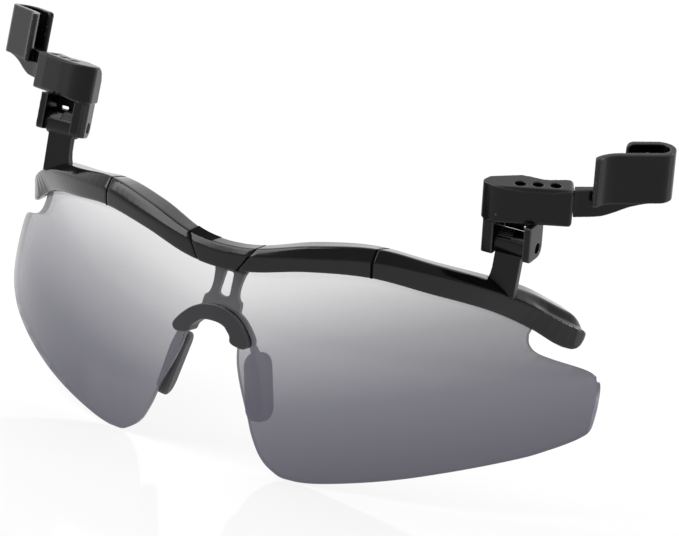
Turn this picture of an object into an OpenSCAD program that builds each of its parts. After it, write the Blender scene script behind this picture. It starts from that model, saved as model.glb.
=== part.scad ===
// Clip-on sunglasses for a cap: a one-piece shield lens hangs under a five-part brow bar,
// and two flip-up hinge clips with sliding hooks grip the side edges of the cap's brim.
// X runs to the viewer's right, Y runs back towards the face and Z runs up.
// The origin lies on the flip axis, halfway between the two hinges.
// The bar, the lens and the nose piece are drawn from the bridge point, which is the middle
// of the bar's front lower edge, and are then moved by hinge_back and hinge_rise.
// Each clip is drawn for the viewer's right side from the centre of its own hinge, with X
// outwards, and is mirrored for the left side.

/* [Lens] */
// Radius of the ball that the lens's front face is part of
lens_radius = 90; // [86:0.5:96]
// Thickness of the lens
lens_t = 1.4; // [1.2:0.05:1.6]
// Distance from the bar's front edge back to the front of the lens
lens_set_back = 2.85; // [2.6:0.05:3.2]
// Distance from the bridge down to the lens's most forward point
lens_centre_drop = 24; // [22:0.5:26]
// Distance from the bridge down to the lens's lower edge
lens_depth = 44.8; // [42:0.2:50]
// Half of the width of the lens's top edge, which sits in the bar
lens_top_half_width = 62.2; // [61.5:0.1:62.8]
// How far each outer lobe of the lens stands out past the end of that top edge
lens_lobe_out = 14; // [13:0.1:16]
// Half of the width of the nose opening at the lens's lower edge
nose_opening_half_width = 22.5; // [20:0.5:26]

/* [Brow bar] */
// Radius of the bar's front edge seen from above
bar_radius = 78; // [77:0.1:79]
// Half of the bar's length, as an angle about the centre of that radius
bar_reach = 63.6; // [62.8:0.1:66]
// Angle over which each end of the bar rounds off
bar_tip_round = 2.8; // [2:0.1:4]
// Depth of the groove that holds the lens's top edge
groove_depth = 2.6; // [2:0.1:3]
// Clearance round the lens in its groove
groove_gap = 0.1; // [0.05:0.01:0.15]
// Least wall in front of the groove
bar_front_wall = 1.1; // [0.9:0.1:1.5]
// Wall behind the groove
bar_back_wall = 1.9; // [1.7:0.1:2.4]
// Half of the bridge section's length at the height of the bridge point
inner_seam = 5.2; // [4:0.1:7]
// How far each inner seam leans outwards for each millimetre of height
inner_seam_lean = 0.6; // [0:0.05:0.8]
// Distance from the middle to each outer seam
outer_seam = 33.3; // [28:0.1:38]
// Depth of the hollow along the top of each bar end
scoop_depth = 1.2; // [0:0.1:1.6]

/* [Nose piece] */
// Thickness of the front lip over the lens
lip_t = 1; // [0.8:0.1:1.3]
// Thickness of the rear lip and of the riser behind the lens
riser_t = 1.45; // [1.2:0.05:1.6]
// Half of the riser's width at its waist
riser_half_width = 3.3; // [2.8:0.1:4]
// Half of the width of the slot in the riser
riser_slot_half_width = 1.4; // [1.1:0.1:1.6]
// Distance from the bridge down to the top of the arch
arch_top = 9.8; // [9.6:0.1:10.4]
// Half of the arch's width over its lip
arch_half_width = 9.6; // [9:0.1:10.4]
// Height of a nose pad
pad_h = 15.4; // [13:0.2:17]
// Width of a nose pad from front to back
pad_w = 7.5; // [7:0.1:8]
// Thickness of a nose pad
pad_t = 2.7; // [2.2:0.1:3]
// Corner radius of a nose pad
pad_round = 3.2; // [2.5:0.1:3.4]
// Distance from the middle to the centre of each pad
pad_out = 10.6; // [10:0.1:11]
// Distance from the bridge back to the centre of each pad
pad_back = 9.3; // [9.1:0.1:9.8]
// Distance from the bridge down to the centre of each pad
pad_drop = 26.7; // [25:0.1:28]
// Angle by which the pads open backwards
pad_yaw = 14; // [10:1:18]
// Angle by which the pads open downwards
pad_splay = 13; // [10:0.5:16]

/* [Hinges] */
// Distance from the middle to the centre of each hinge
hinge_out = 57.3; // [56.9:0.1:57.9]
// Distance from the bridge point back to the hinge line
hinge_back = 25.5; // [25.2:0.1:25.8]
// Height of the hinge line over the bridge point
hinge_rise = 16.1; // [15:0.1:20]
// Radius of a knuckle's smooth band
knuckle_r = 3.2; // [3:0.05:3.4]
// Radius of a knuckle over its notched part
notched_r = 2.85; // [2.7:0.05:2.9]
// Length of a knuckle along the hinge line
knuckle_w = 7; // [6.4:0.1:7.6]
// Side clearance between a knuckle and each ear
ear_gap = 0.1; // [0.05:0.01:0.2]
// Thickness of the ear nearer the middle, at the pin
inner_ear_t = 2.6; // [2.2:0.1:3]
// Thickness of the outer ear
outer_ear_t = 1.7; // [1.5:0.1:2.4]
// Number of notches on a knuckle
notch_count = 21; // [17:1:23]
// Radius of a notch
notch_r = 0.17; // [0.12:0.01:0.2]
// Radius of a hinge pin
pin_r = 1.2; // [1:0.05:1.3]
// Radial clearance of a pin in its knuckle
pin_running_gap = 0.05; // [0.03:0.01:0.08]
// Radial clearance of a pin in its ears
pin_press_gap = 0.01; // [0:0.005:0.02]
// Depth of each end of a pin inside the ear's outer face
pin_recess = 0.6; // [0.4:0.1:1]
// Thickness of a stem
stem_t = 1.7; // [1.4:0.1:2.2]
// Distance from the hinge line forward to a stem's front face
stem_front = 2.1; // [1.8:0.1:2.4]
// Distance from the hinge centre to a stem's edge nearer the middle
stem_in = 3.4; // [3:0.1:3.5]
// Distance from the hinge centre to a stem's outer edge
stem_out = 2.8; // [2.4:0.1:3.2]
// Extra width of a stem at its foot, on the side nearer the middle
stem_flare = 0.6; // [0.1:0.1:1.2]
// Thickness of a detent leaf
leaf_t = 0.5; // [0.4:0.05:0.6]
// Gap between a detent leaf and the knuckle's notched part
leaf_gap = 0.12; // [0.08:0.01:0.2]
// Depth to which a detent leaf is set in its block
leaf_set = 2; // [1.5:0.1:2.2]

/* [Clip blocks] */
// Height of a block's underside over the hinge line
block_low = 5.9; // [5.5:0.1:6.5]
// Height of a block
block_h = 8.6; // [8.4:0.1:10]
// Length of a block's front face from its inner corner
block_len = 17.3; // [17:0.1:19]
// Angle by which a block's front face turns back towards its outer end
block_yaw = 24.9; // [22:0.1:28]
// Distance from the hinge centre in to the front face's inner corner
block_corner_in = 3.8; // [3.4:0.1:4.2]
// Distance from the hinge line forward to the front face's inner corner
block_corner_front = 5.2; // [5:0.1:5.8]
// Thickness of a block at its outer end
block_end_t = 5.4; // [5.2:0.1:6]
// Thickness of a block behind the hinge line
block_back = 3.6; // [3.2:0.1:4.2]
// Radius of a block's edges
block_round = 0.9; // [0.6:0.05:1]
// Radius of the three round holes in a block's top
hole_r = 1.2; // [1:0.05:1.3]
// Distance between two of these holes
hole_pitch = 3.8; // [3.4:0.1:4]
// Distance from the front face's inner corner to the first hole
hole_start = 5.8; // [5.4:0.1:6.2]
// Distance from the front face back to the middle of the holes
hole_inset = 2.4; // [2.3:0.1:2.6]

/* [Arms and hooks] */
// Thickness of the tongue that slides in the block
tongue_t = 2.2; // [1.8:0.1:2.3]
// Height of the tongue
tongue_h = 3.9; // [3.4:0.1:4.1]
// Wall of the block over the tongue
block_roof = 1.5; // [1.3:0.1:1.8]
// Clearance round the tongue on each side
tongue_gap = 0.1; // [0.06:0.01:0.15]
// Height of the bump on the tongue that clicks into the holes
bump_h = 0.06; // [0.04:0.01:0.08]
// Angle by which a hook turns back towards its outer end
hook_yaw = 33; // [30:0.5:36]
// Distance from the hinge centre along the hook's own direction to its outer end
hook_end = 33.3; // [32:0.1:35]
// Distance along that direction to the tip of the hook's front wall
hook_start = 16.2; // [15.8:0.1:17]
// Distance along that direction to the tip of the hook's back wall
hook_back_start = 23; // [22:0.1:24]
// Thickness of a hook's wall
hook_wall = 1.4; // [1.2:0.1:1.6]
// Width of the slot that takes the brim
hook_slot = 4.6; // [4:0.1:5]
// Distance from the hinge centre forward to a hook's front face
hook_front = 3.5; // [3.3:0.1:4]
// Height of a hook
hook_h = 11.4; // [10:0.1:12.5]
// Height of a hook's lower edge over the hinge line
hook_low = 11; // [10.6:0.1:11.6]
// Radius of the curl at the tip of the front wall
hook_curl_r = 6.5; // [5:0.1:7.5]
// Angle of that curl
hook_curl = 44; // [36:1:50]
// Radius of the gripping rib inside a hook
hook_rib_r = 0.35; // [0.25:0.05:0.45]
// Height of the arm's lower edge over the hinge line
arm_low = 7.7; // [7.4:0.1:8.1]
// Height of the arm's upper edge over the hinge line
arm_high = 14.1; // [13.6:0.1:14.3]
// Thickness of the arm outside the block
arm_t = 2; // [1.8:0.1:2.4]

/* [Position in the photograph] */
// Forward lean of the viewer's right clip
right_lean = 16; // [-20:0.1:20]
// Forward lean of the viewer's left clip
left_lean = -3.7; // [-20:0.1:20]

/* [Hidden] */
// Cuts run past a face by this much
past = 1;
round_fn = 32;
ball_fn = 240;

// Angles at which the bar's section is set, out from the middle, and at each of them the
// height of its lower edge, of the crease along its front and of its top edge, and how far
// the crease stands forward of the bar's radius.
bar_angles = [0, 6, 15, 25.3, 35, 45, 52.5, 59, 66];
bar_low = [-0.9, -0.2, 2.6, 4, 2.6, 0.6, -2.4, -6.2, -7.2];
bar_crease = [2.6, 3.4, 5.6, 7.6, 7.2, 5.4, 2.6, -0.6, -3];
bar_top = [4.4, 5.1, 8.4, 10.6, 9.2, 7.2, 5, 1.9, -1.5];
// How far the top's back edge stands over its front edge, and the underside's back edge over
// its front edge
bar_top_tilt = [0.3, 0.3, 0.2, -0.3, -0.2, 0.3, 0.8, 0.8, 0.6];
bar_low_tilt = [0, 0, 0, 0, 0, 1, 2.6, 3.3, 3.4];
bar_swell = [0.3, 0.4, 0.7, 1, 1.6, 2.5, 3, 3, 2.6];
// Distance of the top's front edge and back edge behind the bar's radius
bar_top_front = 0.4;
bar_top_back = [4.5, 5.1, 6.1, 6.1, 5.6, 5.2, 5, 5, 5];
bar_least_depth = 5;
bar_low_bevel = 1.1;

lens_centre_back = lens_set_back + lens_radius;
// Distance from the centre of the bar's radius back to the centre of the ball
ball_shift = lens_centre_back - bar_radius;
lens_inner_radius = lens_radius - lens_t;
lens_half_width = lens_top_half_width + lens_lobe_out;
block_high = block_low + block_h;
ear_face = knuckle_w / 2 + ear_gap;
tongue_high = block_high - block_roof - tongue_gap;
tongue_low = tongue_high - tongue_h;
// The arm starts its tongue so far in from the block's outer end
tongue_len = block_len - hole_start + hole_r + 1;
stem_angle = asin(hinge_out / bar_radius);
// The foot stands in the bar end, over the groove where that is highest beside it
foot_inner_angle = asin((hinge_out - stem_in) / bar_radius);
stem_foot_z = along(bar_low, foot_inner_angle) + groove_depth + 0.9;
notch_side = 6.6;
notch_low = 17.5;

function seg(a, i = 0) = i >= len(bar_angles) - 2 || a < bar_angles[i + 1] ? i : seg(a, i + 1);
function slope(y, i) =
    i == 0 ? 0 :
    i == len(y) - 1 ? (y[i] - y[i - 1]) / (bar_angles[i] - bar_angles[i - 1]) :
    (y[i + 1] - y[i - 1]) / (bar_angles[i + 1] - bar_angles[i - 1]);
// Value of the list y at the angle a, on a smooth curve through its points
function along(y, a) =
    let (s = abs(a), i = seg(s), h = bar_angles[i + 1] - bar_angles[i], t = (s - bar_angles[i]) / h)
    y[i] * (2 * pow(t, 3) - 3 * pow(t, 2) + 1)
    + h * slope(y, i) * (pow(t, 3) - 2 * pow(t, 2) + t)
    + y[i + 1] * (3 * pow(t, 2) - 2 * pow(t, 3))
    + h * slope(y, i + 1) * (pow(t, 3) - pow(t, 2));
// Distance from the centre of the bar's radius to the ball of radius r, at angle a and height z
function ball_reach(a, z, r) =
    sqrt(pow(r, 2) - pow(ball_shift * sin(a), 2) - pow(z + lens_centre_drop, 2)) - ball_shift * cos(a);
function bar_point(a, r, z) = [r * sin(a), bar_radius - r * cos(a), z];
// Smooth curve through a list of points, with n steps between two of them
function curve_point(a, b, c, d, t) =
    0.5 * (2 * b + (c - a) * t + (2 * a - 5 * b + 4 * c - d) * pow(t, 2)
    + (3 * b - a - 3 * c + d) * pow(t, 3));
function curve(p, n) = [
    for (i = [0 : len(p) - 2])
        for (k = [0 : n - 1])
            curve_point(p[max(i - 1, 0)], p[i], p[i + 1], p[min(i + 2, len(p) - 1)], k / n),
    p[len(p) - 1]];
function flip(p) = [for (i = [len(p) - 1 : -1 : 0]) [-p[i][0], p[i][1]]];
function both(p) = concat(p, flip(p));

// Solid through a row of rings that have the same number of points, closed by the
// triangles in cap at both ends
module loft(rings, cap) {
    n = len(rings[0]);
    last = len(rings) - 1;
    polyhedron(
        points = [for (r = rings) each r],
        faces = concat(
            cap,
            [for (c = cap) [last * n + c[2], last * n + c[1], last * n + c[0]]],
            [for (i = [0 : last - 1]) for (j = [0 : n - 1])
                [i * n + j, (i + 1) * n + j, (i + 1) * n + (j + 1) % n]],
            [for (i = [0 : last - 1]) for (j = [0 : n - 1])
                [i * n + j, (i + 1) * n + (j + 1) % n, i * n + (j + 1) % n]]));
}

module from_bridge() {
    translate([0, -hinge_back, -hinge_rise])
        children();
}

// Moves a right-hand clip to its place: side is 1 for the viewer's right and -1 for the left
module clip_place(side) {
    lean = side > 0 ? right_lean : left_lean;
    translate([side * hinge_out, 0, 0])
        rotate([lean, 0, 0])
            mirror([side > 0 ? 0 : 1, 0, 0])
                children();
}

// Angle of the lens's top corner about the centre of the bar's radius
lens_corner_angle = asin(lens_top_half_width / ball_reach(52, 0, lens_radius - lens_t / 2));
groove_end = lens_corner_angle + 0.4;
// Depth to which the groove thins out past the lens's corner
groove_run_out = 0.2;

// How much of the bar's full section is left at the angle a, near the rounded tips
function tip_share(a) =
    let (into = abs(a) - (bar_reach - bar_tip_round))
    into <= 0 ? 1 : sqrt(max(0.06, 1 - pow(into / bar_tip_round, 2)));
// The hollow runs along the ends only, outwards from the stems
function scoop(a) = scoop_depth * min(1, max(0, (abs(a) - stem_angle - 4) / 4));
// The bar's cross-section at the angle a as distance and height: up the front, over the
// top, down the back and round the groove in its underside
function bar_section(a) =
    let (low = along(bar_low, a), crease = along(bar_crease, a), top = along(bar_top, a),
        g = min(abs(a), groove_end), high = low + (abs(a) > groove_end ? groove_run_out : groove_depth),
        face = lens_radius + groove_gap, rear = lens_inner_radius - groove_gap,
        face_low = ball_reach(g, low, face) - bar_radius, rear_low = ball_reach(g, low, rear) - bar_radius,
        face_high = ball_reach(g, high, face) - bar_radius, rear_high = ball_reach(g, high, rear) - bar_radius,
        front = max(0, face_low + bar_front_wall), back = min(-bar_least_depth, rear_low - bar_back_wall),
        swell = along(bar_swell, a), k = tip_share(a), mid = crease - 1, lift = along(bar_low_tilt, a),
        p = [[front, low], [swell, crease],
            [(swell - bar_top_front) / 2, (crease + top) / 2 - scoop(a)], [-bar_top_front, top],
            [-along(bar_top_back, a), top + along(bar_top_tilt, a)], [back, low + lift + bar_low_bevel],
            [back + bar_low_bevel, low + lift], [rear_low, low + lift],
            [rear_high, high + max(0, lift - groove_depth + 0.4)], [face_high, high], [face_low, low]])
    [for (q = p) [bar_radius + q[0] * (1 + k) / 2, mid + (q[1] - mid) * k]];
// Triangles that close an end of this section
section_cap = [[0, 9, 10], [0, 1, 9], [1, 2, 9], [2, 3, 9], [3, 8, 9], [3, 4, 8], [4, 5, 8], [5, 7, 8], [5, 6, 7]];

// Angle at which corner j of the section meets the leaning seam that starts out at x
function seam_angle(j, x, lean, a, n = 8) =
    let (q = bar_section(a)[j])
    n == 0 ? a : seam_angle(j, x, lean, asin((x + lean * q[1]) / q[0]), n - 1);
function seam_angles(x, lean) = [for (j = [0 : 10]) seam_angle(j, x, lean, asin(x / bar_radius))];

// Length of bar through rings, each given as the angles of its eleven corners
module bar_length(rings) {
    loft([for (r = rings) [for (j = [0 : 10]) let (q = bar_section(r[j])[j]) bar_point(r[j], q[0], q[1])]],
        section_cap);
}
function ring_between(from, to, share) = [for (j = [0 : 10]) from[j] + (to[j] - from[j]) * share];
function ring_at(a) = [for (j = [0 : 10]) a];

module bridge_section() {
    ends = seam_angles(inner_seam, inner_seam_lean);
    color("#26272a")
        from_bridge()
            bar_length([for (i = [-6 : 6]) [for (a = ends) a * i / 6]]);
}

module brow_mid(side) {
    from = seam_angles(inner_seam, inner_seam_lean);
    to = seam_angles(outer_seam, 0);
    color("#2b2c2f")
        from_bridge()
            mirror([side > 0 ? 0 : 1, 0, 0])
                bar_length([for (i = [0 : 14]) ring_between(from, to, i / 14)]);
}

module brow_end(side) {
    from = seam_angles(outer_seam, 0);
    tip = bar_reach - bar_tip_round;
    first = 30;
    color("#212225")
        mirror([side > 0 ? 0 : 1, 0, 0])
            difference() {
                from_bridge()
                    bar_length(concat(
                        [for (i = [0 : 3]) ring_between(from, ring_at(first), i / 3)],
                        [for (i = [1 : 16]) ring_at(first + (groove_end - first) * i / 16)],
                        [for (i = [1 : 4]) ring_at(groove_end + 0.1 + (tip - groove_end - 0.1) * (i - 1) / 3)],
                        [for (t = [20 : 20 : 80]) ring_at(tip + bar_tip_round * sin(t))]));
                translate([hinge_out - stem_in - stem_flare, -stem_front, stem_foot_z - hinge_rise])
                    cube([stem_in + stem_out + stem_flare, stem_t, hinge_rise]);
            }
}

// Wedge along the hinge line between two angles, measured back from straight up
module hinge_wedge(from, to, r, w) {
    rotate([90, 0, 90])
        linear_extrude(height = w, center = true)
            polygon(concat([[0, 0]], [for (i = [0 : 6])
                let (a = from + (to - from) * i / 6) [2 * r * sin(a), 2 * r * cos(a)]]));
}

module stem(side) {
    foot = stem_foot_z - hinge_rise;
    color("#1c1c1e")
        mirror([side > 0 ? 0 : 1, 0, 0])
            translate([hinge_out, 0, 0])
                difference() {
                    union() {
                        translate([0, stem_t - stem_front, 0])
                            rotate([90, 0, 0])
                                linear_extrude(height = stem_t)
                                    polygon([[-stem_in, 0], [-stem_in, foot + 5.6],
                                        [-stem_in - stem_flare * 0.3, foot + 4.2],
                                        [-stem_in - stem_flare, foot + 2.6], [-stem_in - stem_flare, foot],
                                        [stem_out, foot], [stem_out, 0]]);
                        knuckle();
                    }
                    rotate([0, 90, 0])
                        cylinder(h = knuckle_w + 2 * past, r = pin_r + pin_running_gap, center = true, $fn = 48);
                }
}

// The notched part runs over the knuckle between these angles, forward and back from its top
notched_front = 74;
notched_rear = 142;
notch_pitch = 9.3;

module knuckle() {
    notch_half = knuckle_w / 2 - 0.4;
    difference() {
        rotate([0, 90, 0])
            cylinder(h = knuckle_w, r = knuckle_r, center = true, $fn = 96);
        difference() {
            hinge_wedge(-notched_front, notched_rear, knuckle_r, knuckle_w + 2 * past);
            rotate([0, 90, 0])
                cylinder(h = knuckle_w + 4 * past, r = notched_r, center = true, $fn = 96);
        }
        for (i = [0 : notch_count - 1])
            rotate([notched_front - 8 - i * notch_pitch, 0, 0])
                translate([-notch_half, 0, notched_r + 0.04])
                    rotate([0, 90, 0])
                        cylinder(h = notch_half, r = notch_r, $fn = 16);
    }
}

// The lens's outline: its top edge follows the groove, then come the notch beside the bar,
// the lobe, the lower edge as shares of the lens's size, and the nose opening.
lens_top = [for (i = [0 : 44])
    let (a = i * lens_corner_angle / 44, z = along(bar_low, a) + groove_depth - groove_gap)
    [ball_reach(a, z, lens_radius - lens_t / 2) * sin(a), z]];
lens_corner = lens_top[len(lens_top) - 1];
lens_side_step = [for (p = [[-0.53, -2.7], [-0.03, -4.7], [1.37, -6.3], [3.87, -7.4]]) lens_corner + p];
lens_rim = [for (f = [[0.905, 0.202], [0.949, 0.225], [0.976, 0.253], [0.993, 0.294],
        [1, 0.378], [1, 0.469], [0.993, 0.538], [0.97, 0.575], [0.93, 0.612], [0.875, 0.653],
        [0.816, 0.692], [0.692, 0.756], [0.56, 0.819], [0.422, 0.881], [0.276, 0.936],
        [0.123, 0.984], [0.042, 1]])
    [nose_opening_half_width + f[0] * (lens_half_width - nose_opening_half_width),
        lens_corner[1] - f[1] * (lens_depth + lens_corner[1])]];
nose_side = [for (f = [[1, 1], [0.881, 0.996], [0.786, 0.974], [0.654, 0.923], [0.566, 0.868],
        [0.497, 0.806], [0.396, 0.681], [0.321, 0.557], [0.233, 0.432], [0.189, 0.37],
        [0.107, 0.249], [0.038, 0.125], [0, 0]])
    [notch_side + f[0] * (nose_opening_half_width - notch_side), -notch_low - f[1] * (lens_depth - notch_low)]];
nose_notch = [for (f = [[0.9, 0.33], [0.65, 0.7], [0.33, 0.93], [0, 1]])
    [f[0] * notch_side, -notch_low + f[1] * (notch_low - arch_top - 1.8)]];
lens_half = concat(lens_top, curve(concat(lens_side_step, lens_rim, nose_side, nose_notch), 4));

// Shell between two balls about the lens's centre, cut to an outline seen from the front
module ball_shell(outer, inner, outline) {
    intersection() {
        translate([0, lens_centre_back, -lens_centre_drop])
            difference() {
                sphere(r = outer, $fn = ball_fn);
                sphere(r = inner, $fn = ball_fn);
            }
        translate([0, lens_centre_back - lens_radius / 2, 0])
            rotate([90, 0, 0])
                linear_extrude(height = lens_radius)
                    polygon(outline);
    }
}

module lens_shield() {
    color("#8d8a98")
        from_bridge()
            ball_shell(lens_radius, lens_inner_radius, both(lens_half));
}

// The arch's outline as seen from the front, larger by grow
function arch_outline(grow) =
    let (w = arch_half_width + grow, t = -arch_top + grow, e = -arch_top - 8 - grow,
        inner = -arch_top - 3.6)
    both(curve([[0, t], [0.33 * w, t - 0.5], [0.64 * w, t - 2.1], [0.875 * w, t - 4.4],
        [w, e + 1.7], [0.97 * w, e + 0.5], [0.85 * w, e], [0.65 * w, e + 0.3], [5.1, e + 0.9],
        [4.7, inner - 2.2], [3.2, inner - 0.7], [1.6, inner - 0.1], [0, inner]], 4));
riser_top = bar_low[0] - 0.02;
riser_half = concat([[0, riser_top], [riser_half_width + 1.5, riser_top], [riser_half_width + 0.7, -2.1]],
    curve([[riser_half_width + 0.3, -3.2], [riser_half_width, -5.4], [riser_half_width + 0.1, -7.3],
    [riser_half_width + 0.6, -8.4], [riser_half_width + 1.3, -9], [riser_half_width + 1.4, -11]], 3),
    [[riser_half_width + 1.4, -arch_top - 2.8], [0, -arch_top - 2.8]]);

module pad_place(side) {
    translate([side * pad_out, pad_back, -pad_drop])
        mirror([side > 0 ? 0 : 1, 0, 0])
            rotate([0, -pad_splay, 0])
                rotate([0, 0, -pad_yaw])
                    children();
}

// Rounded plate of a nose pad with its face towards the nose slightly domed
module pad_body() {
    hull() {
        for (v = [-1, 1])
            for (h = [-1, 1])
                translate([0, v * (pad_w / 2 - pad_round), h * (pad_h / 2 - pad_round)])
                    rotate([0, 90, 0])
                        translate([0, 0, -pad_t / 2]) {
                            translate([0, 0, 0.5])
                                cylinder(h = pad_t - 0.8, r = pad_round, $fn = round_fn);
                            cylinder(h = pad_t, r = pad_round - 0.6, $fn = round_fn);
                        }
    }
}

module nose_bridge() {
    rear_outer = lens_inner_radius - groove_gap;
    rear_inner = rear_outer - riser_t;
    front_outer = lens_radius + groove_gap + lip_t;
    color("#35363a")
        from_bridge()
            difference() {
                union() {
                    difference() {
                        ball_shell(front_outer, rear_inner, arch_outline(0));
                        ball_shell(lens_radius + groove_gap, rear_outer, both(lens_half));
                    }
                    ball_shell(rear_outer, rear_inner, arch_outline(-0.5));
                    ball_shell(rear_outer, rear_inner, both(riser_half));
                    for (side = [-1, 1])
                        pad_arm(side);
                }
                translate([0, 2 * lens_set_back + 9, 0])
                    rotate([90, 0, 0])
                        linear_extrude(height = 12)
                            polygon(both(curve([[0, -2.7], [0.6 * riser_slot_half_width, -2.8],
                                [0.8 * riser_slot_half_width, -3.4], [0.9 * riser_slot_half_width, -5.5],
                                [riser_slot_half_width, -7.2], [0.8 * riser_slot_half_width, -8],
                                [0, -8.3]], 4)));
            }
}

// Arm from the end of the rear lip, which widens into a plate along the outer face of a pad
module pad_arm(side) {
    difference() {
        union() {
            hull() {
                translate([side * (arch_half_width - 1.3), lens_set_back + 3.3, -arch_top - 6.4])
                    sphere(r = 0.7, $fn = 16);
                pad_place(side)
                    translate([pad_t / 2, -0.6, pad_h * 0.24])
                        rotate([0, 90, 0])
                            cylinder(h = 0.9, r = 1.6, $fn = round_fn);
            }
            hull()
                pad_place(side) {
                    translate([pad_t / 2 - 0.2, -0.6, pad_h * 0.24])
                        rotate([0, 90, 0])
                            cylinder(h = 1.1, r = 1.6, $fn = round_fn);
                    translate([pad_t / 2 - 0.2, -0.3, -pad_h * 0.36])
                        rotate([0, 90, 0])
                            cylinder(h = 0.9, r = 1.1, $fn = round_fn);
                }
        }
        pad_place(side)
            pad_body();
    }
}

module nose_pad(side) {
    color("#45464a")
        from_bridge()
            pad_place(side)
                pad_body();
}

module hinge_pin(side) {
    color("#5a5b5f")
        clip_place(side)
            translate([pin_recess - ear_face - inner_ear_t, 0, 0])
                rotate([0, 90, 0])
                    cylinder(h = 2 * ear_face + inner_ear_t + outer_ear_t - 2 * pin_recess, r = pin_r, $fn = 48);
}

// The leaf stands behind the top of the knuckle and bears on its notches
leaf_front = 1.9;
leaf_low = sqrt(pow(notched_r + leaf_gap, 2) - pow(leaf_front, 2));

module detent_leaf(side) {
    color("#6f7074")
        clip_place(side)
            difference() {
                translate([-knuckle_w / 2, leaf_front, leaf_low])
                    cube([knuckle_w, leaf_t, block_low + leaf_set - leaf_low]);
                hull()
                    for (p = [-0.65, 0.65])
                        translate([p + 1.9, leaf_front, leaf_low + 0.85])
                            rotate([90, 0, 0])
                                cylinder(h = 4 * leaf_t, r = 0.36, center = true, $fn = 24);
            }
}

// Places children on a block's front face: X along the face, Y into the block
module on_face() {
    translate([-block_corner_in, -block_corner_front, 0])
        rotate([0, 0, block_yaw])
            children();
}

// Polygon with each corner i rounded over the length l[i] on both its sides
function eased(p, l) = [
    for (i = [0 : len(p) - 1])
        let (b = p[i], u = p[(i + len(p) - 1) % len(p)] - b, v = p[(i + 1) % len(p)] - b,
            s = b + u * l[i] / norm(u), e = b + v * l[i] / norm(v))
        for (k = [0 : 5])
            let (t = k / 5)
            s * pow(1 - t, 2) + b * 2 * t * (1 - t) + e * pow(t, 2)];
// Point on the block's plan from its place along the front face and its distance behind it
function from_face(t, n) = [t * cos(block_yaw) - n * sin(block_yaw) - block_corner_in,
    t * sin(block_yaw) + n * cos(block_yaw) - block_corner_front];
block_bend = 0.62;
// Angle of the bevel over the block's inner rear corner, measured from the hinge line
bevel_turn = 38;
block_inner = ear_face + inner_ear_t + 1.2;
// The block's end narrows by this much towards the rear
block_end_taper = 1.5;
block_plan = eased(
    [[-block_inner, -3.6], from_face(0.5, -0.1), from_face(block_bend * block_len, -0.6),
        from_face(block_len, 0), from_face(block_len, block_end_t), from_face(0.93 * block_len, block_end_t + 0.5),
        from_face(0.65 * block_len, block_end_t - 0.3), [-0.5, block_back + 0.2], [block_end_taper - block_inner, block_back - 0.7]],
    [1.3, 2.4, 0.6, 0.9, 0.6, 0.5, 1, 1.2, 1]);

// The inner ear's plan follows the block's end a little inside it, so that it thins to the rear
ear_inset = 0.6;
inner_ear_plan = [[-ear_face, -6], [0.3 - ear_face - inner_ear_t, -4.3],
    [-ear_face - inner_ear_t, -4], [ear_inset - block_inner, -3 + ear_inset],
    [block_end_taper + ear_inset - block_inner, block_back - 0.7],
    [block_end_taper + ear_inset - block_inner, 5], [-ear_face, 5]];

// Rectangle with rounded corners
module soft_rectangle(x0, x1, y0, y1, r) {
    translate([x0, y0 + r])
        square([x1 - x0, y1 - y0 - 2 * r]);
    translate([x0 + r, y0])
        square([x1 - x0 - 2 * r, y1 - y0]);
    for (x = [x0 + r, x1 - r])
        for (y = [y0 + r, y1 - r])
            translate([x, y])
                circle(r = r, $fn = 48);
}

module clip_block(side) {
    color("#1a1a1c")
        clip_place(side)
            difference() {
                union() {
                    difference() {
                        intersection() {
                            linear_extrude(height = 2 * block_high)
                                polygon(block_plan);
                            on_face()
                                translate([0, 4 * block_len, 0])
                                    rotate([90, 0, 0])
                                        linear_extrude(height = 8 * block_len)
                                            soft_rectangle(-block_len, block_len, block_low, block_high, block_round);
                            on_face()
                                rotate([90, 0, 90])
                                    linear_extrude(height = 8 * block_len, center = true)
                                        soft_rectangle(-0.4, 4 * block_len, block_low, block_high, block_round);
                        }
                        translate([block_end_taper - block_inner, block_back - 0.7, block_high])
                            rotate([90, 0, 90 + bevel_turn])
                                linear_extrude(height = 4 * block_inner, center = true)
                                    polygon([[-3.1, past], [-2.2, -0.25], [-1.4, -0.8], [-0.85, -1.7], [-0.5, -2.9],
                                        [past, -6.2], [past, past]]);
                    }
                    intersection() {
                        translate([-block_inner - past, 0, 0])
                            ear(block_inner + past - ear_face);
                        translate([0, 0, -2 * knuckle_r])
                            linear_extrude(height = 4 * knuckle_r)
                                polygon(inner_ear_plan);
                    }
                    translate([ear_face, 0, 0])
                        ear(outer_ear_t);
                }
                rotate([0, 90, 0])
                    cylinder(h = 4 * ear_face, r = pin_r + pin_press_gap, center = true, $fn = 48);
                on_face() {
                    translate([block_len - tongue_len - tongue_gap, hole_inset - tongue_t / 2 - tongue_gap,
                            tongue_low - tongue_gap])
                        cube([tongue_len + tongue_gap + past, tongue_t + 2 * tongue_gap, tongue_h + 2 * tongue_gap]);
                    for (i = [0 : 2])
                        translate([hole_start + i * hole_pitch, hole_inset, tongue_high])
                            cylinder(h = block_roof + tongue_gap + past, r = hole_r, $fn = 48);
                }
                translate([-knuckle_w / 2, leaf_front, block_low - past])
                    cube([knuckle_w, leaf_t, leaf_set + past]);
            }
}

// Ear plate with a bevelled back lower corner, standing down from the block
module ear(t) {
    rotate([90, 0, 90])
        linear_extrude(height = t)
            polygon([[-4.2, block_low + 0.3], [-4.2, -1.6], [-3.9, -2.05], [-3.4, -2.2], [0.6, -2.4],
                [1.5, -2.1], [2.2, -1.3], [2.5, -0.3], [2.5, block_low + 0.3]]);
}

// Places children in a hook's own direction: X along it, Y back
module on_hook() {
    rotate([0, 0, hook_yaw])
        children();
}

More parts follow.
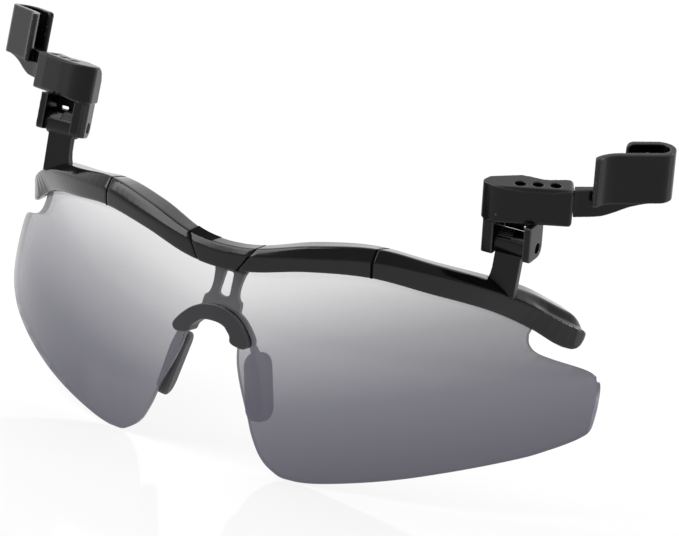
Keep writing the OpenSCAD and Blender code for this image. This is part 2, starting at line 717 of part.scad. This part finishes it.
// Plan of the hook: a flat front wall that curls forward at its tip, a round outer end
// and a shorter back wall
module hook_plan() {
    outer_r = hook_wall + hook_slot / 2;
    end_x = hook_end - outer_r;
    mid_y = outer_r - hook_front;
    flat_x = hook_start + hook_curl_r * sin(hook_curl);
    difference() {
        translate([end_x, mid_y])
            circle(r = outer_r, $fn = 96);
        translate([end_x, mid_y])
            circle(r = hook_slot / 2, $fn = 96);
        translate([end_x - 2 * outer_r, mid_y - 2 * outer_r])
            square([2 * outer_r, 4 * outer_r]);
    }
    translate([flat_x, -hook_front])
        square([end_x - flat_x, hook_wall]);
    translate([hook_back_start + hook_wall / 2, mid_y + hook_slot / 2])
        square([end_x - hook_back_start - hook_wall / 2, hook_wall]);
    translate([hook_back_start + hook_wall / 2, mid_y + outer_r - hook_wall / 2])
        circle(r = hook_wall / 2, $fn = 32);
    translate([flat_x, -hook_front - hook_curl_r])
        intersection() {
            difference() {
                circle(r = hook_curl_r + hook_wall, $fn = 128);
                circle(r = hook_curl_r, $fn = 128);
            }
            polygon([[0, 0], [0, 2 * hook_curl_r], [-2 * hook_curl_r * tan(hook_curl / 2), 2 * hook_curl_r],
                [-3 * hook_curl_r * sin(hook_curl), 3 * hook_curl_r * cos(hook_curl)]]);
        }
    translate([flat_x - (hook_curl_r + hook_wall / 2) * sin(hook_curl),
            (hook_curl_r + hook_wall / 2) * cos(hook_curl) - hook_front - hook_curl_r])
        circle(r = hook_wall / 2, $fn = 32);
    translate([hook_end - outer_r - 3, hook_wall - hook_front])
        circle(r = hook_rib_r, $fn = 24);
}

// Point on a clip's plan from its place along the hook and its distance back
function from_hook(w, d) = [w * cos(hook_yaw) - d * sin(hook_yaw), w * sin(hook_yaw) + d * cos(hook_yaw)];

// Cutter that rounds the corner of a wall's tip over the radius r, with the tip at X = 0 and the
// wall's edge at Z = 0
module tip_rounder(r, depth) {
    rotate([90, 0, 0])
        linear_extrude(height = depth, center = true)
            difference() {
                translate([-past, -r])
                    square([r + past, r + past]);
                translate([r, -r])
                    circle(r = r, $fn = 48);
            }
}

module slide_arm(side) {
    flat_x = hook_start + hook_curl_r * sin(hook_curl);
    plate_front = hook_wall - hook_front - 1.2;
    plate_start = hook_start - 2;
    back_wall = hook_wall + hook_slot + hook_wall / 2 - hook_front;
    // The web under the hook runs out here
    web_end = hook_end - 3.7;
    color("#1e1e20")
        clip_place(side) {
            on_face() {
                translate([block_len - tongue_len, hole_inset - tongue_t / 2, tongue_low])
                    cube([tongue_len + 0.6, tongue_t, tongue_h]);
                translate([hole_start, hole_inset, tongue_high - past])
                    cylinder(h = past + bump_h, r = 0.8, $fn = 32);
            }
            translate([0, 0, arm_low])
                linear_extrude(height = arm_high - arm_low)
                    polygon([from_face(block_len + tongue_gap, hole_inset - tongue_t / 2),
                        from_hook(plate_start + 1, plate_front), from_hook(plate_start + 1, plate_front + arm_t),
                        from_face(block_len + tongue_gap, hole_inset + tongue_t / 2)]);
            on_hook() {
                difference() {
                    translate([0, 0, hook_low])
                        linear_extrude(height = hook_h)
                            hook_plan();
                    translate([hook_back_start, back_wall, hook_low + hook_h])
                        tip_rounder(1.6, 2 * hook_wall);
                    translate([hook_back_start, back_wall, hook_low])
                        mirror([0, 0, 1])
                            tip_rounder(1.2, 2 * hook_wall);
                }
                translate([0, plate_front + arm_t, 0])
                    rotate([90, 0, 0])
                        linear_extrude(height = arm_t)
                            polygon(concat([[plate_start, arm_low]],
                                curve([[plate_start + 1, arm_low], [plate_start + 3.4, arm_low + 0.2],
                                    [plate_start + 6.2, arm_low + 1.1], [plate_start + 9.2, arm_low + 2.3],
                                    [plate_start + 12.6, hook_low - 0.2], [web_end, hook_low + 0.2]], 3),
                                [[web_end, hook_low + 0.5], [flat_x + 0.5, hook_low + 0.5],
                                [flat_x + 0.5, arm_high], [plate_start, arm_high]]));
            }
        }
}

lens_shield();
bridge_section();
brow_mid(-1);  // brow_mid_left
brow_mid(1);  // brow_mid_right
brow_end(-1);  // brow_end_left
brow_end(1);  // brow_end_right
stem(-1);  // stem_left
stem(1);  // stem_right
nose_bridge();
nose_pad(-1);  // nose_pad_left
nose_pad(1);  // nose_pad_right
hinge_pin(-1);  // hinge_pin_left
hinge_pin(1);  // hinge_pin_right
detent_leaf(-1);  // detent_leaf_left
detent_leaf(1);  // detent_leaf_right
clip_block(-1);  // clip_block_left
clip_block(1);  // clip_block_right
slide_arm(-1);  // slide_arm_left
slide_arm(1);  // slide_arm_right
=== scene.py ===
import math

import bmesh
import bpy
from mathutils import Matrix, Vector


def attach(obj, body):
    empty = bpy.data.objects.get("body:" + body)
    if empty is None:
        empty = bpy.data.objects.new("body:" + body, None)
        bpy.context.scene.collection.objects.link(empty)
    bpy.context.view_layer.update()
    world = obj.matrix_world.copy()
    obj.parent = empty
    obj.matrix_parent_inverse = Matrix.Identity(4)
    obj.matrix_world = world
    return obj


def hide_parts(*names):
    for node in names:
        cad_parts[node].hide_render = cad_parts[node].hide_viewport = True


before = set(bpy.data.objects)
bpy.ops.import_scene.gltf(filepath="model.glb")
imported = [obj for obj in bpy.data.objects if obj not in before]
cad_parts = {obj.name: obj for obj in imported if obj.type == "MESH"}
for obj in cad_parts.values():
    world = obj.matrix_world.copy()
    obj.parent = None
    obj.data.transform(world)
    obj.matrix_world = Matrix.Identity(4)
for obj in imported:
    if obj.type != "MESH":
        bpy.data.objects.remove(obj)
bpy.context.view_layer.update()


# Camera: stands in front, a little above and to the viewer's right, with a long lens, and
# is rolled so that the brow bar slants down to the right as it does in the photograph.

camera_place = (0.29219, -0.60942, 0.12623)
camera_turn_deg = (77.818, -9.946, 26.401)
camera_data = bpy.data.cameras.new("studio_camera")
camera_data.lens = 163.2
camera_data.sensor_width = 36.0
camera_data.clip_start = 0.05
camera_data.clip_end = 20.0
camera = bpy.data.objects.new("studio_camera", camera_data)
camera.location = camera_place
camera.rotation_euler = [math.radians(turn) for turn in camera_turn_deg]
bpy.context.scene.collection.objects.link(camera)
bpy.context.scene.camera = camera


# Brow bar: five lengths of black nylon, injection-moulded and polished, butted at four
# seams. Each edge carries the small radius that the mould leaves, and the flats between
# them mirror the white table and backdrop.

def linear(hex_code):
    """Linear RGBA of an sRGB hex colour."""
    channels = [int(hex_code[i:i + 2], 16) / 255 for i in (1, 3, 5)]
    return [c / 12.92 if c <= 0.04045 else ((c + 0.055) / 1.055) ** 2.4 for c in channels] + [1.0]


def add_node(tree, kind, settings=None, inputs=None, links=None):
    """Adds a node with its settings, its socket values and its links from earlier sockets."""
    node = tree.nodes.new(kind)
    for key, value in (settings or {}).items():
        setattr(node, key, value)
    for key, value in (inputs or {}).items():
        node.inputs[key].default_value = value
    for key, socket in (links or {}).items():
        tree.links.new(socket, node.inputs[key])
    return node


def start_material(name):
    """An empty material with its Principled shader, output and object coordinates."""
    material = bpy.data.materials.new(name)
    material.use_nodes = True
    tree = material.node_tree
    tree.nodes.clear()
    shader = add_node(tree, "ShaderNodeBsdfPrincipled")
    add_node(tree, "ShaderNodeOutputMaterial", links={"Surface": shader.outputs["BSDF"]})
    place = add_node(tree, "ShaderNodeTexCoord").outputs["Object"]
    return material, tree, shader, place


# Most values of a noise lie between these two
noise_low = 0.3
noise_high = 0.7


def moulded(name, dark, light, edge, sheen, rough_low, rough_high, grain_mm, grain_depth):
    """Moulded plastic or rubber: a faint cloudy tone, uneven polish, a fine grain in the
    surface, and a painted highlight that makes outer edges paler. The grain is drawn coarser
    than a real mould's, which would be too fine to show. The index of refraction is nylon's,
    which rubber's is close to, and sheen sets how strongly the surface mirrors."""
    nylon_ior = 1.53
    cloud_mm = 9.0
    dark_until = 0.35
    light_from = 0.7
    grain_height = 0.0001
    # Pointiness is 0.5 on a flat and more on an outer edge
    # The edge colour is a painted highlight: it starts here and is full here
    edge_highlight_starts = 0.504
    edge_highlight_is_full = 0.535
    material, tree, shader, place = start_material(name)
    cloud = add_node(tree, "ShaderNodeTexNoise", inputs={"Scale": 1000 / cloud_mm, "Detail": 4.0},
                     links={"Vector": place}).outputs["Fac"]
    tone = add_node(tree, "ShaderNodeValToRGB", links={"Fac": cloud})
    tone.color_ramp.elements[0].position = dark_until
    tone.color_ramp.elements[1].position = light_from
    tone.color_ramp.elements[0].color = linear(dark)
    tone.color_ramp.elements[1].color = linear(light)
    shape = add_node(tree, "ShaderNodeNewGeometry")
    # Painted highlight: outer edges are mixed from the tone towards the edge colour
    edge_highlight_mask = add_node(tree, "ShaderNodeMapRange", links={"Value": shape.outputs["Pointiness"]},
                      inputs={"From Min": edge_highlight_starts, "From Max": edge_highlight_is_full})
    # Sockets 6 and 7 of a colour Mix are its two colours
    painted_edge_highlight = add_node(tree, "ShaderNodeMix", {"data_type": "RGBA"}, inputs={7: linear(edge)},
                    links={"Factor": edge_highlight_mask.outputs["Result"], 6: tone.outputs["Color"]})
    tree.links.new(painted_edge_highlight.outputs[2], shader.inputs["Base Color"])
    polish = add_node(tree, "ShaderNodeMapRange", links={"Value": cloud},
                      inputs={"From Min": noise_low, "From Max": noise_high,
                              "To Min": rough_low, "To Max": rough_high})
    tree.links.new(polish.outputs["Result"], shader.inputs["Roughness"])
    grain = add_node(tree, "ShaderNodeTexNoise", inputs={"Scale": 1000 / grain_mm, "Detail": 2.0},
                     links={"Vector": place})
    bump = add_node(tree, "ShaderNodeBump", links={"Height": grain.outputs["Fac"]},
                    inputs={"Strength": grain_depth, "Distance": grain_height})
    tree.links.new(bump.outputs["Normal"], shader.inputs["Normal"])
    shader.inputs["IOR"].default_value = nylon_ior
    shader.inputs["Specular IOR Level"].default_value = sheen
    return material


def cad_copy(node, name):
    """A copy of a CAD node with its doubled corner points merged, as the one selected object."""
    same_point = 0.000002
    piece = bpy.data.objects.new(name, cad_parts[node].data.copy())
    bpy.context.scene.collection.objects.link(piece)
    bpy.ops.object.select_all(action="DESELECT")
    piece.select_set(True)
    bpy.context.view_layer.objects.active = piece
    bpy.ops.object.mode_set(mode="EDIT")
    bpy.ops.mesh.select_all(action="SELECT")
    bpy.ops.mesh.remove_doubles(threshold=same_point)
    bpy.ops.object.mode_set(mode="OBJECT")
    return piece


def softened(node, name, grid_mm, rounds, material, body):
    """A copy of a CAD node, remeshed on a fine grid and relaxed, so that every edge gets the
    small soft radius of a moulding. It stands for the node and rides on the node's body."""
    piece = cad_copy(node, name)
    grid = piece.modifiers.new("fine_grid", "REMESH")
    grid.mode = "VOXEL"
    grid.voxel_size = grid_mm / 1000
    relax = piece.modifiers.new("mould_radius", "SMOOTH")
    relax.factor = 0.6
    relax.iterations = rounds
    bpy.ops.object.modifier_apply(modifier=grid.name)
    bpy.ops.object.modifier_apply(modifier=relax.name)
    bpy.ops.object.shade_smooth()
    piece.data.materials.clear()
    piece.data.materials.append(material)
    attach(piece, body)
    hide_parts(node)


# Polished nylon: near black, with clear mirror images and hardly any grain
# Its edge colour is a faint painted highlight
bar_gloss = moulded("polished_moulded_nylon", dark="#060607", light="#0a0a0b", edge="#0d0d0e",
                    sheen=0.32, rough_low=0.12, rough_high=0.18, grain_mm=0.5, grain_depth=0.02)
softened("bridge_section", "bridge_section_moulding", grid_mm=0.16, rounds=24,
         material=bar_gloss, body="frame")
for side in ("left", "right"):
    softened("brow_mid_" + side, "brow_mid_" + side + "_moulding", grid_mm=0.18, rounds=45,
             material=bar_gloss, body="frame")
    softened("brow_end_" + side, "brow_end_" + side + "_moulding", grid_mm=0.16, rounds=54,
             material=bar_gloss, body="frame")


# Seams: where two lengths of the bar are butted, a thin dark matt slice stands a little
# below the surface as painted shade in the seam's groove. It is a slice of the bar itself,
# cut off at the seam and drawn in, so it follows the bar's outline.

seam_shade_thickness = 0.0004
seam_shade_shrink = 0.975
bar_middle = Vector((0.0, -0.0255, -0.0161))
inner_seam_x = 0.0052
inner_seam_lean = 0.6
outer_seam_x = 0.0333

# Painted seam shade: dead black and matt with a faint speckle, so that a seam reads as a dark line
seam_shade_black, tree, shader, place = start_material("matt_painted_seam_shade")
speckle_mm = 0.8
speckle = add_node(tree, "ShaderNodeTexNoise", inputs={"Scale": 1000 / speckle_mm, "Detail": 2.0},
                   links={"Vector": place})
speckle_rough = add_node(tree, "ShaderNodeMapRange", inputs={"To Min": 0.75, "To Max": 0.95},
                         links={"Value": speckle.outputs["Fac"]})
tree.links.new(speckle_rough.outputs["Result"], shader.inputs["Roughness"])
shader.inputs["Base Color"].default_value = linear("#030303")
shader.inputs["Specular IOR Level"].default_value = 0.05

for name, node, sign, seam_x, lean in (
        ("inner_seam_left", "bridge_section", -1, inner_seam_x, inner_seam_lean),
        ("inner_seam_right", "bridge_section", 1, inner_seam_x, inner_seam_lean),
        ("outer_seam_left", "brow_mid_left", -1, outer_seam_x, 0.0),
        ("outer_seam_right", "brow_mid_right", 1, outer_seam_x, 0.0)):
    seam_shade_slice = cad_copy(node, name)
    across = Vector((sign, 0, -sign * lean)).normalized()
    on_seam = bar_middle + Vector((sign * seam_x, 0, 0))
    bpy.ops.object.mode_set(mode="EDIT")
    bpy.ops.mesh.select_all(action="SELECT")
    bpy.ops.mesh.bisect(plane_co=on_seam - across * seam_shade_thickness, plane_no=across,
                        use_fill=True, clear_inner=True)
    bpy.ops.mesh.select_all(action="SELECT")
    bpy.ops.transform.translate(value=across * seam_shade_thickness / 2)
    points = [vertex.co.copy() for vertex in bmesh.from_edit_mesh(seam_shade_slice.data).verts]
    bpy.ops.transform.resize(value=(seam_shade_shrink, seam_shade_shrink, seam_shade_shrink),
                             center_override=sum(points, Vector()) / len(points))
    bpy.ops.object.mode_set(mode="OBJECT")
    seam_shade_slice.data.materials.clear()
    seam_shade_slice.data.materials.append(seam_shade_black)
    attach(seam_shade_slice, "frame")


# Lens: one pane of polycarbonate, moulded as part of a ball, 1.4 mm thick, and pushed up
# into the bar's groove. Its silver mirror coating is thin under the brow and thickens
# downwards and outwards, so less light comes through there. Its reflection is painted into
# its tone, bright under the brow and darker downwards and outwards.

lens_radius = 0.090
lens_thickness = 0.0014
lens_edge_radius = 0.00022
ball_centre = Vector((0.0, 0.06735, -0.0401))
ball_tolerance = 0.00003
mesh_reach = 0.08
mesh_step = 0.0022
same_grid_point = 0.00001

# Only the front skin of the CAD lens is kept, and flattened, as one outline
lens = cad_copy("lens_shield", "mirror_lens_pane")
bpy.ops.object.mode_set(mode="EDIT")
bpy.ops.mesh.select_all(action="SELECT")
skin = bmesh.from_edit_mesh(lens.data)
for face in skin.faces:
    on_front = all(abs((vertex.co - ball_centre).length - lens_radius) < ball_tolerance
                   for vertex in face.verts)
    face.select_set(not on_front)
bmesh.update_edit_mesh(lens.data)
bpy.ops.mesh.delete(type="FACE")
bpy.ops.mesh.select_all(action="SELECT")
for vertex in bmesh.from_edit_mesh(lens.data).verts:
    vertex.co.y = 0.0
bmesh.update_edit_mesh(lens.data)
bpy.ops.mesh.select_mode(type="EDGE")
bpy.ops.mesh.select_all(action="DESELECT")
for edge in bmesh.from_edit_mesh(lens.data).edges:
    edge.select_set(not edge.is_boundary)
bmesh.update_edit_mesh(lens.data)
bpy.ops.mesh.delete(type="EDGE")
bpy.ops.mesh.select_all(action="SELECT")
bpy.ops.mesh.edge_face_add()

# The outline, which hangs below z = 0, is cut into an even grid, and each point of it is set
# back on the ball
steps_out = int(mesh_reach / mesh_step)
for i in range(-steps_out, steps_out + 1):
    bpy.ops.mesh.select_all(action="SELECT")
    bpy.ops.mesh.bisect(plane_co=(i * mesh_step, 0, 0), plane_no=(1, 0, 0))
for i in range(-steps_out, 1):
    bpy.ops.mesh.select_all(action="SELECT")
    bpy.ops.mesh.bisect(plane_co=(0, 0, i * mesh_step), plane_no=(0, 0, 1))
bpy.ops.mesh.select_all(action="SELECT")
bpy.ops.mesh.remove_doubles(threshold=same_grid_point)
skin = bmesh.from_edit_mesh(lens.data)
for vertex in skin.verts:
    off_axis = Vector((vertex.co.x, 0, vertex.co.z)) - Vector((ball_centre.x, 0, ball_centre.z))
    vertex.co.y = ball_centre.y - math.sqrt(lens_radius ** 2 - off_axis.length_squared)
for face in skin.faces:
    face.normal_update()
    if face.normal.y > 0:
        face.normal_flip()
bmesh.update_edit_mesh(lens.data)
bpy.ops.object.mode_set(mode="OBJECT")

# Ground edge: the bare grey polycarbonate round the pane, clouded by the grinding
lens_edge, tree, shader, place = start_material("ground_polycarbonate_edge")
rub_mm = 1.5
rub = add_node(tree, "ShaderNodeTexNoise", inputs={"Scale": 1000 / rub_mm, "Detail": 2.0},
               links={"Vector": place})
rub_rough = add_node(tree, "ShaderNodeMapRange", links={"Value": rub.outputs["Fac"]},
                     inputs={"From Min": noise_low, "From Max": noise_high,
                             "To Min": 0.25, "To Max": 0.4})
tree.links.new(rub_rough.outputs["Result"], shader.inputs["Roughness"])
shader.inputs["Base Color"].default_value = linear("#5a5a61")
shader.inputs["Alpha"].default_value = 0.85

# Mirror coating: a metal film that mirrors softly, with a faint broad haze. It thickens from
# the middle out to film_side and from film_top down to film_foot. At none, at each of the
# film_steps and at full it covers a share of the surface, which is its alpha, and has a tone,
# which is a painted reflection, lighter where the film is thin and darker where it is thick.
film_side = 0.075
film_top = -0.014
film_foot = -0.061
more_to_right = 0.44
more_to_left = 0.30
more_downwards = 0.80
film_steps = (0.18, 0.4, 0.65)
painted_reflection_tones = ("#b4b4b8", "#9f9fa4", "#83828b", "#6e6d79", "#5e5d69")
film_covers = (0.09, 0.22, 0.50, 0.70, 0.82)
lens_coat, tree, shader, place = start_material("mirror_coated_polycarbonate")
axes = add_node(tree, "ShaderNodeSeparateXYZ", links={"Vector": place})
right_share = add_node(tree, "ShaderNodeMapRange", links={"Value": axes.outputs["X"]},
                       inputs={"From Max": film_side, "To Max": more_to_right})
left_share = add_node(tree, "ShaderNodeMapRange", links={"Value": axes.outputs["X"]},
                      inputs={"From Max": -film_side, "To Max": more_to_left})
out_share = add_node(tree, "ShaderNodeMath", {"operation": "MAXIMUM"},
                     links={0: right_share.outputs["Result"], 1: left_share.outputs["Result"]})
down_share = add_node(tree, "ShaderNodeMapRange", links={"Value": axes.outputs["Z"]},
                      inputs={"From Min": film_top, "From Max": film_foot, "To Max": more_downwards})
film = add_node(tree, "ShaderNodeMath", {"operation": "ADD"},
                links={0: out_share.outputs["Value"], 1: down_share.outputs["Result"]})
painted_reflection_tone = add_node(tree, "ShaderNodeValToRGB", links={"Fac": film.outputs["Value"]})
coat_cover = add_node(tree, "ShaderNodeValToRGB", links={"Fac": film.outputs["Value"]})
for ramp in (painted_reflection_tone.color_ramp, coat_cover.color_ramp):
    for position in film_steps:
        ramp.elements.new(position)
# The tones are a painted reflection, light under the brow and dark downwards and outwards
for element, code in zip(painted_reflection_tone.color_ramp.elements, painted_reflection_tones):
    element.color = linear(code)
for element, cover in zip(coat_cover.color_ramp.elements, film_covers):
    element.color = (cover, cover, cover, 1)
tree.links.new(painted_reflection_tone.outputs["Color"], shader.inputs["Base Color"])
tree.links.new(coat_cover.outputs["Color"], shader.inputs["Alpha"])
haze_mm = 14.0
haze = add_node(tree, "ShaderNodeTexNoise", inputs={"Scale": 1000 / haze_mm, "Detail": 3.0},
                links={"Vector": place})
haze_rough = add_node(tree, "ShaderNodeMapRange", links={"Value": haze.outputs["Fac"]},
                      inputs={"From Min": noise_low, "From Max": noise_high,
                              "To Min": 0.10, "To Max": 0.14})
tree.links.new(haze_rough.outputs["Result"], shader.inputs["Roughness"])
shader.inputs["Metallic"].default_value = 1.0

# The wall's rim takes the second material
lens.data.materials.clear()
lens.data.materials.append(lens_coat)
lens.data.materials.append(lens_edge)
wall = lens.modifiers.new("pane_thickness", "SOLIDIFY")
wall.thickness = lens_thickness
wall.offset = -1.0
wall.material_offset_rim = 1
bpy.ops.object.modifier_apply(modifier=wall.name)
ground = lens.modifiers.new("ground_edge", "BEVEL")
ground.width = lens_edge_radius
ground.segments = 2
ground.limit_method = "ANGLE"
ground.angle_limit = math.radians(45)
bpy.ops.object.modifier_apply(modifier=ground.name)
bpy.ops.object.shade_smooth_by_angle(angle=math.radians(40))
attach(lens, "frame")
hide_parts("lens_shield")


# Nose bridge: one satin nylon moulding. Its front lip and rear lip hold the edge of the
# lens's notch between them, and its riser stands behind the lens up to the bar.

# Satin nylon: charcoal with a low, even sheen from a fine spark-eroded mould
# Its edge colour is a painted highlight
nose_satin = moulded("satin_moulded_nylon", dark="#2a2a2c", light="#303033", edge="#4c4c50",
                     sheen=0.3, rough_low=0.34, rough_high=0.44, grain_mm=0.35, grain_depth=0.06)
softened("nose_bridge", "nose_bridge_moulding", grid_mm=0.12, rounds=5,
         material=nose_satin, body="frame")


# Nose pads: soft rubber, moulded with a full radius all round, and fixed to the plates at
# the ends of the nose bridge's arms.

# Soft rubber: a little greyer than the nylon, matt, with a powdery grain
# Its edge colour is a painted highlight
pad_rubber = moulded("moulded_soft_rubber", dark="#3a3a3c", light="#424245", edge="#4e4e52",
                     sheen=0.3, rough_low=0.55, rough_high=0.68, grain_mm=0.25, grain_depth=0.25)
for side in ("left", "right"):
    softened("nose_pad_" + side, "nose_pad_" + side + "_rubber", grid_mm=0.15, rounds=12,
             material=pad_rubber, body="frame")


# Stems, clip blocks and sliding arms: black nylon, injection-moulded, with a soft radius
# along each edge. The stems are fixed to the bar's ends, each block turns about its pin and
# each arm slides in its block.

# Semi-gloss nylon: black, less polished than the bar, with a dark grey painted highlight on its edges
clip_nylon = moulded("semi_gloss_moulded_nylon", dark="#060606", light="#0a0a0a", edge="#3f3f42",
                     sheen=0.2, rough_low=0.20, rough_high=0.27, grain_mm=0.3, grain_depth=0.012)
for side in ("left", "right"):
    softened("stem_" + side, "stem_" + side + "_moulding", grid_mm=0.075, rounds=3,
             material=clip_nylon, body="frame")
    softened("clip_block_" + side, "clip_block_" + side + "_moulding", grid_mm=0.14, rounds=10,
             material=clip_nylon, body="clip_" + side)
    softened("slide_arm_" + side, "slide_arm_" + side + "_moulding", grid_mm=0.13, rounds=8,
             material=clip_nylon, body="arm_" + side)


# Hinge pins and detent leaves: blackened steel. The pins are turned and pressed into the
# ears, and the leaves are cut from spring strip, so each keeps its own dull sheen.

def blackened(name, code, rough_low, rough_high, streak_mm):
    """Blackened steel with streaks in its sheen, drawn out along X as the tool left them. They
    are coarser than real ones, which would be too fine to show."""
    drawn_out = (0.15, 1.0, 1.0)
    material, tree, shader, place = start_material(name)
    stretch = add_node(tree, "ShaderNodeMapping", inputs={"Scale": drawn_out}, links={"Vector": place})
    streak = add_node(tree, "ShaderNodeTexNoise", inputs={"Scale": 1000 / streak_mm, "Detail": 3.0},
                      links={"Vector": stretch.outputs["Vector"]})
    spread = add_node(tree, "ShaderNodeMapRange", links={"Value": streak.outputs["Fac"]},
                      inputs={"From Min": noise_low, "From Max": noise_high,
                              "To Min": rough_low, "To Max": rough_high})
    tree.links.new(spread.outputs["Result"], shader.inputs["Roughness"])
    shader.inputs["Base Color"].default_value = linear(code)
    shader.inputs["Metallic"].default_value = 1.0
    return material


# Turned pins: dark grey with a soft glint. Spring strip: darker and duller.
pin_steel = blackened("blackened_turned_steel", "#2c2c2e",
                      rough_low=0.34, rough_high=0.48, streak_mm=0.6)
leaf_steel = blackened("blackened_spring_strip", "#1d1d1f",
                       rough_low=0.39, rough_high=0.53, streak_mm=0.8)
for side in ("left", "right"):
    for node, steel in (("hinge_pin_", pin_steel), ("detent_leaf_", leaf_steel)):
        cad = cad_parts[node + side]
        cad.data.materials.clear()
        cad.data.materials.append(steel)


# Table: a white polished board under the lens's lower edge, which holds a faint image and
# shadow of the part. To the camera and in mirrors, most of its white is its own.

table_top = -0.0612
table_width = 8.0
own_white = 0.75
bpy.ops.object.select_all(action="DESELECT")
bpy.ops.mesh.primitive_plane_add(size=table_width, location=(0, 0, table_top))
table = bpy.context.object
table.name = "white_table"

# Acrylic board: white and polished, so it mirrors faintly
table_white, tree, shader, place = start_material("white_acrylic_board")
shader.inputs["Base Color"].default_value = linear("#f2f2f2")
shader.inputs["Roughness"].default_value = 0.07
shader.inputs["IOR"].default_value = 1.55
glow = add_node(tree, "ShaderNodeEmission", inputs={"Color": linear("#ffffff"), "Strength": 1.0})
path = add_node(tree, "ShaderNodeLightPath")
mirror_ray = add_node(tree, "ShaderNodeMath", {"operation": "MAXIMUM"},
                      links={0: path.outputs["Is Glossy Ray"], 1: path.outputs["Is Transmission Ray"]})
seen_ray = add_node(tree, "ShaderNodeMath", {"operation": "MAXIMUM"},
                    links={0: path.outputs["Is Camera Ray"], 1: mirror_ray.outputs["Value"]})
share = add_node(tree, "ShaderNodeMath", {"operation": "MULTIPLY"}, inputs={1: own_white},
                 links={0: seen_ray.outputs["Value"]})
blend = add_node(tree, "ShaderNodeMixShader",
                 links={"Fac": share.outputs["Value"], 1: shader.outputs["BSDF"],
                        2: glow.outputs["Emission"]})
tree.links.new(blend.outputs["Shader"], tree.nodes["Material Output"].inputs["Surface"])
table.data.materials.append(table_white)


# Surroundings: white, dimmer overhead than near the table, and brightest behind the part
# on the left. To the camera they are plain white, and in mirrors their bright side is drawn
# a little towards plain white.

low_level = 0.75
overhead_level = 0.35
low_until = 0.05
overhead_from = 0.45
backdrop_way = Vector((-0.50, 0.85, 0.10)).normalized()
backdrop_level = 0.75
backdrop_starts = 0.05
backdrop_is_full = 0.70
backdrop_in_mirrors = 0.4
world = bpy.data.worlds.new("white_studio")
bpy.context.scene.world = world
world.use_nodes = True
tree = world.node_tree
tree.nodes.clear()
direction = add_node(tree, "ShaderNodeTexCoord").outputs["Generated"]
height = add_node(tree, "ShaderNodeSeparateXYZ", links={"Vector": direction}).outputs["Z"]
low_sky = add_node(tree, "ShaderNodeMapRange", {"interpolation_type": "SMOOTHSTEP"},
                   inputs={"From Min": low_until, "From Max": overhead_from,
                           "To Min": low_level, "To Max": overhead_level},
                   links={"Value": height})
aim = add_node(tree, "ShaderNodeVectorMath", {"operation": "DOT_PRODUCT"}, inputs={1: backdrop_way},
               links={0: direction})
backdrop = add_node(tree, "ShaderNodeMapRange", {"interpolation_type": "SMOOTHSTEP"},
                    inputs={"From Min": backdrop_starts, "From Max": backdrop_is_full},
                    links={"Value": aim.outputs["Value"]}).outputs["Result"]
backdrop_light = add_node(tree, "ShaderNodeMath", {"operation": "MULTIPLY"}, inputs={1: backdrop_level},
                          links={0: backdrop})
level = add_node(tree, "ShaderNodeMath", {"operation": "ADD"},
                 links={0: low_sky.outputs["Result"], 1: backdrop_light.outputs["Value"]})
path = add_node(tree, "ShaderNodeLightPath")
mirror_ray = add_node(tree, "ShaderNodeMath", {"operation": "MAXIMUM"},
                      links={0: path.outputs["Is Glossy Ray"], 1: path.outputs["Is Transmission Ray"]})
mirrored_backdrop = add_node(tree, "ShaderNodeMath", {"operation": "MULTIPLY"},
                             inputs={1: backdrop_in_mirrors}, links={0: backdrop})
mirrored = add_node(tree, "ShaderNodeMath", {"operation": "MULTIPLY"},
                    links={0: mirror_ray.outputs["Value"], 1: mirrored_backdrop.outputs["Value"]})
white_share = add_node(tree, "ShaderNodeMath", {"operation": "MAXIMUM"},
                       links={0: path.outputs["Is Camera Ray"], 1: mirrored.outputs["Value"]})
# Sockets 2 and 3 of a number Mix are its two numbers
strength = add_node(tree, "ShaderNodeMix", {"data_type": "FLOAT"}, inputs={3: 1.0},
                    links={"Factor": white_share.outputs["Value"], 2: level.outputs["Value"]})
sky = add_node(tree, "ShaderNodeBackground", inputs={"Color": linear("#ffffff")},
               links={"Strength": strength.outputs[0]})
add_node(tree, "ShaderNodeOutputWorld", links={"Surface": sky.outputs["Background"]})


# Lamps: a large soft box overhead on the left in front, and a small one low on the right
# behind. Both are aimed at the part.

for name, lamp_place, width, watts in (
        ("soft_box_above", (-0.8, -0.6, 0.9), 1.1, 18.0),
        ("soft_box_right", (1.0, 0.5, 0.20), 0.35, 5.0)):
    lamp_data = bpy.data.lights.new(name, "AREA")
    lamp_data.shape = "SQUARE"
    lamp_data.size = width
    lamp_data.energy = watts
    lamp = bpy.data.objects.new(name, lamp_data)
    lamp.location = lamp_place
    lamp.rotation_euler = (-Vector(lamp_place)).to_track_quat("-Z", "Y").to_euler()
    bpy.context.scene.collection.objects.link(lamp)

# The standard view keeps plain white white
bpy.context.scene.view_settings.view_transform = "Standard"
